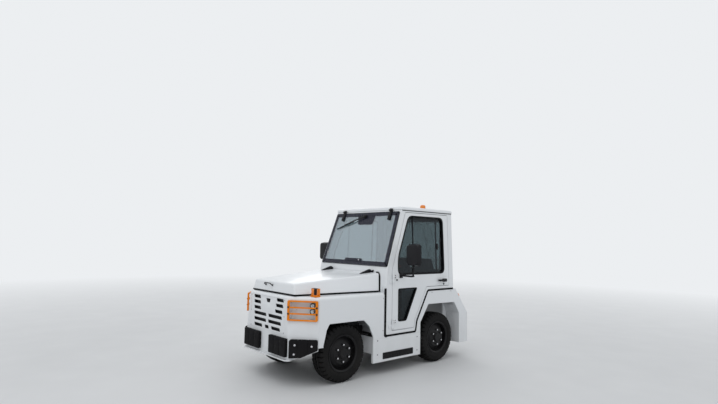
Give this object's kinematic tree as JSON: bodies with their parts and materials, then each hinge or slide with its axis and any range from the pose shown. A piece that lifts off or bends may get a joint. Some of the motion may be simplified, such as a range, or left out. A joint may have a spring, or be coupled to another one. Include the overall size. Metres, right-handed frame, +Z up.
{
  "type": "airport baggage tug",
  "caption": "Electric airport baggage tug with a closed cab, sloping bonnet, opening doors, steered front wheels and a rear tow hitch.",
  "frame": {"origin": "on the ground under the middle of the whole length and width", "axes": "+X to the tug's left, +Y to its rear, +Z up"},
  "size_m": [2.01, 3.08, 2.14],
  "materials": {
    "white_paint": "satin",
    "dark_steel": "satin",
    "pad_rubber": "matt",
    "orange_paint": "satin",
    "amber_lens": "gloss",
    "red_lens": "gloss",
    "black_plastic": "matt",
    "black_paint": "satin",
    "grey_paint": "satin",
    "window_glass": "clear",
    "floor_rubber": "matt",
    "seat_vinyl": "satin",
    "wheel_paint": "satin",
    "tyre_rubber": "matt",
    "pin_steel": "satin"
  },
  "bodies": {
    "chassis": {"chassis_frame": "dark_steel", "front_bumper": "white_paint", "bumper_pads": "pad_rubber", "front_body": "white_paint", "grille_panel": "white_paint", "lamp_guards": "orange_paint", "headlamps": "black_plastic", "turn_lamps": "amber_lens", "battery_block": "grey_paint", "cab_frame": "white_paint", "cab_roof": "white_paint", "roof_beacon": "amber_lens", "windscreen": "window_glass", "windscreen_wiper": "black_plastic", "rear_window": "window_glass", "cab_floor": "floor_rubber", "dashboard": "black_plastic", "steering_column": "dark_steel", "pedals": "dark_steel", "seat_frames": "black_plastic", "driver_cushion": "seat_vinyl", "driver_backrest": "seat_vinyl", "passenger_cushion": "seat_vinyl", "passenger_backrest": "seat_vinyl", "side_skirts": "white_paint", "skirt_vents": "black_plastic", "rear_body": "white_paint", "rear_pads": "pad_rubber", "rear_lamps": "red_lens", "tow_hitch": "dark_steel", "front_axle": "dark_steel", "rear_axle": "dark_steel", "leaf_springs": "dark_steel", "hinge_posts": "black_paint"},
    "bonnet": {"bonnet": "white_paint", "bonnet_fittings": "black_paint"},
    "door_left": {"door_left": "white_paint", "door_left_glass": "window_glass", "door_left_fittings": "black_paint", "mirror_left": "black_plastic"},
    "door_right": {"door_right": "white_paint", "door_right_glass": "window_glass", "door_right_fittings": "black_paint", "mirror_right": "black_plastic"},
    "steering_wheel": {"steering_wheel": "black_plastic"},
    "hitch_pin": {"hitch_pin": "pin_steel"},
    "knuckle_left": {"knuckle_left": "dark_steel"},
    "knuckle_right": {"knuckle_right": "dark_steel"},
    "tie_rod": {"tie_rod": "dark_steel"},
    "wheel_front_left": {"rim_front_left": "wheel_paint", "tyre_front_left": "tyre_rubber"},
    "wheel_front_right": {"rim_front_right": "wheel_paint", "tyre_front_right": "tyre_rubber"},
    "wheel_rear_left": {"rim_rear_left": "wheel_paint", "tyre_rear_left": "tyre_rubber"},
    "wheel_rear_right": {"rim_rear_right": "wheel_paint", "tyre_rear_right": "tyre_rubber"}
  },
  "joints": [
    {"name": "steer_left", "type": "hinge", "parent": "chassis", "child": "knuckle_left", "pos_m": [0.48, -0.89, 0.325], "axis": [0, 0, 1], "range_deg": [-35, 35]},
    {"name": "steer_right", "type": "hinge", "parent": "chassis", "child": "knuckle_right", "pos_m": [-0.48, -0.89, 0.325], "axis": [0, 0, 1], "range_deg": [-35, 35]},
    {"name": "tie_rod_turn", "type": "hinge", "parent": "knuckle_left", "child": "tie_rod", "pos_m": [0.48, -0.74, 0.325], "axis": [0, 0, 1], "range_deg": [-35, 35]},
    {"name": "steering_wheel_turn", "type": "hinge", "parent": "chassis", "child": "steering_wheel", "pos_m": [0.232, 0.132, 1.205], "axis": [0, 0.6157, 0.788], "range_deg": [-525, 525]},
    {"name": "wheel_front_left_roll", "type": "hinge", "parent": "knuckle_left", "child": "wheel_front_left", "pos_m": [0.5705, -0.89, 0.325], "axis": [1, 0, 0], "continuous": true},
    {"name": "wheel_rear_left_roll", "type": "hinge", "parent": "chassis", "child": "wheel_rear_left", "pos_m": [0.5705, 0.75, 0.325], "axis": [1, 0, 0], "continuous": true},
    {"name": "wheel_front_right_roll", "type": "hinge", "parent": "knuckle_right", "child": "wheel_front_right", "pos_m": [-0.5705, -0.89, 0.325], "axis": [1, 0, 0], "continuous": true},
    {"name": "wheel_rear_right_roll", "type": "hinge", "parent": "chassis", "child": "wheel_rear_right", "pos_m": [-0.5705, 0.75, 0.325], "axis": [1, 0, 0], "continuous": true},
    {"name": "door_left_swing", "type": "hinge", "parent": "chassis", "child": "door_left", "pos_m": [0.704, -0.15, 1], "axis": [0, 0, -1], "range_deg": [0, 75]},
    {"name": "door_right_swing", "type": "hinge", "parent": "chassis", "child": "door_right", "pos_m": [-0.704, -0.15, 1], "axis": [0, 0, 1], "range_deg": [0, 75]},
    {"name": "bonnet_lift", "type": "hinge", "parent": "chassis", "child": "bonnet", "pos_m": [0, -0.252, 1.214], "axis": [-1, 0, 0], "range_deg": [0, 55]},
    {"name": "hitch_pin_lift", "type": "slide", "parent": "chassis", "child": "hitch_pin", "axis": [0, 0, 1], "range_m": [0, 0.18]}
  ],
  "couplings": [
    {"joint": "steer_right", "follows": "steer_left", "ratio": 1},
    {"joint": "tie_rod_turn", "follows": "steer_left", "ratio": -1},
    {"joint": "steering_wheel_turn", "follows": "steer_left", "ratio": 15}
  ]
}
